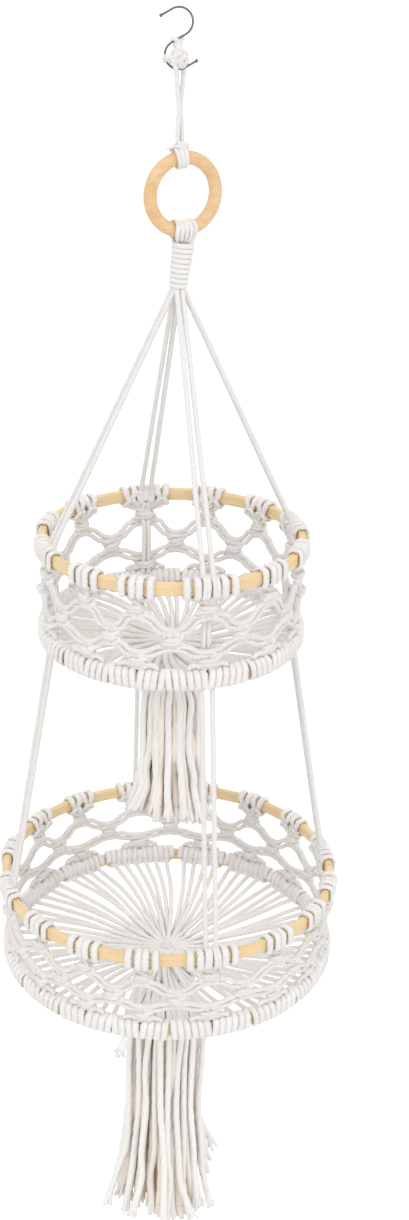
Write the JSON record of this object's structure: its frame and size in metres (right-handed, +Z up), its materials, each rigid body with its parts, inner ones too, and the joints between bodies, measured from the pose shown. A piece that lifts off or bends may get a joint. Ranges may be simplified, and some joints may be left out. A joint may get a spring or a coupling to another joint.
{
  "type": "hanging fruit basket",
  "caption": "Two round knotted-cord baskets on bamboo hoops, one below the other, hung from a wooden ring, a cord loop and a wire hook, with a tassel under each.",
  "frame": {"origin": "the seat inside the top bend of the hook, where it rests on its rail", "axes": "+Z up along the hanging axis, +X across the hook's flat, +Y to the back"},
  "size_m": [0.2652, 0.2652, 0.9795],
  "materials": {
    "cotton_cord": "matte",
    "bamboo": "satin",
    "ring_wood": "satin",
    "hook_steel": "satin"
  },
  "bodies": {
    "hook": {"s_hook": "hook_steel"},
    "loop": {"hanging_loop": "cotton_cord", "loop_lump": "cotton_cord"},
    "ring": {"wooden_ring": "ring_wood", "ring_top_hitch": "cotton_cord", "ring_knot": "cotton_cord", "gather_hitches": "cotton_cord"},
    "gather": {"gather_core": "cotton_cord", "gather_wrap": "cotton_cord", "upper_hangers": "cotton_cord"},
    "upper_basket": {"upper_rim_hoop": "bamboo", "upper_base_hoop": "bamboo", "upper_rim_hitches": "cotton_cord", "upper_hanger_hitches": "cotton_cord", "upper_base_wraps": "cotton_cord", "upper_top_knots": "cotton_cord", "upper_middle_knots": "cotton_cord", "upper_bottom_knots": "cotton_cord", "upper_upper_links": "cotton_cord", "upper_lower_links": "cotton_cord", "upper_rim_strands": "cotton_cord", "upper_foot_strands": "cotton_cord", "upper_base_cords": "cotton_cord", "upper_base_crown": "cotton_cord", "upper_inner_hangers": "cotton_cord", "lower_hangers": "cotton_cord"},
    "upper_tassel": {"upper_tassel_neck": "cotton_cord", "upper_tassel_tie": "cotton_cord", "upper_tassel": "cotton_cord"},
    "lower_basket": {"lower_rim_hoop": "bamboo", "lower_base_hoop": "bamboo", "lower_rim_hitches": "cotton_cord", "lower_hanger_hitches": "cotton_cord", "lower_base_wraps": "cotton_cord", "lower_top_knots": "cotton_cord", "lower_middle_knots": "cotton_cord", "lower_bottom_knots": "cotton_cord", "lower_upper_links": "cotton_cord", "lower_lower_links": "cotton_cord", "lower_rim_strands": "cotton_cord", "lower_foot_strands": "cotton_cord", "lower_base_cords": "cotton_cord", "lower_base_crown": "cotton_cord"},
    "lower_tassel": {"lower_tassel_neck": "cotton_cord", "lower_tassel_tie": "cotton_cord", "lower_tassel": "cotton_cord"}
  },
  "joints": [
    {"name": "loop_swing", "type": "hinge", "parent": "hook", "child": "loop", "pos_m": [0, 0, -0.038], "axis": [1, 0, 0], "range_deg": [-45, 45]},
    {"name": "ring_turn", "type": "hinge", "parent": "loop", "child": "ring", "pos_m": [0.0012, 0, -0.0828], "axis": [0, 0, 1], "range_deg": [-90, 90]},
    {"name": "gather_swing", "type": "hinge", "parent": "ring", "child": "gather", "pos_m": [0.0042, 0, -0.14305], "axis": [0.8988, 0.4384, 0], "range_deg": [-30, 30]},
    {"name": "upper_tier_lift", "type": "slide", "parent": "gather", "child": "upper_basket", "axis": [0, 0, 1], "range_m": [0, 0.06], "deforming": ["upper_hangers"]},
    {"name": "upper_tassel_swing", "type": "hinge", "parent": "upper_basket", "child": "upper_tassel", "pos_m": [0, 0, -0.4667], "axis": [1, 0, 0], "range_deg": [-12, 12]},
    {"name": "lower_tier_lift", "type": "slide", "parent": "upper_basket", "child": "lower_basket", "axis": [0, 0, 1], "range_m": [0, 0.06], "deforming": ["lower_hangers"]},
    {"name": "lower_tassel_swing", "type": "hinge", "parent": "lower_basket", "child": "lower_tassel", "pos_m": [0, 0, -0.7386], "axis": [1, 0, 0], "range_deg": [-12, 12]}
  ]
}
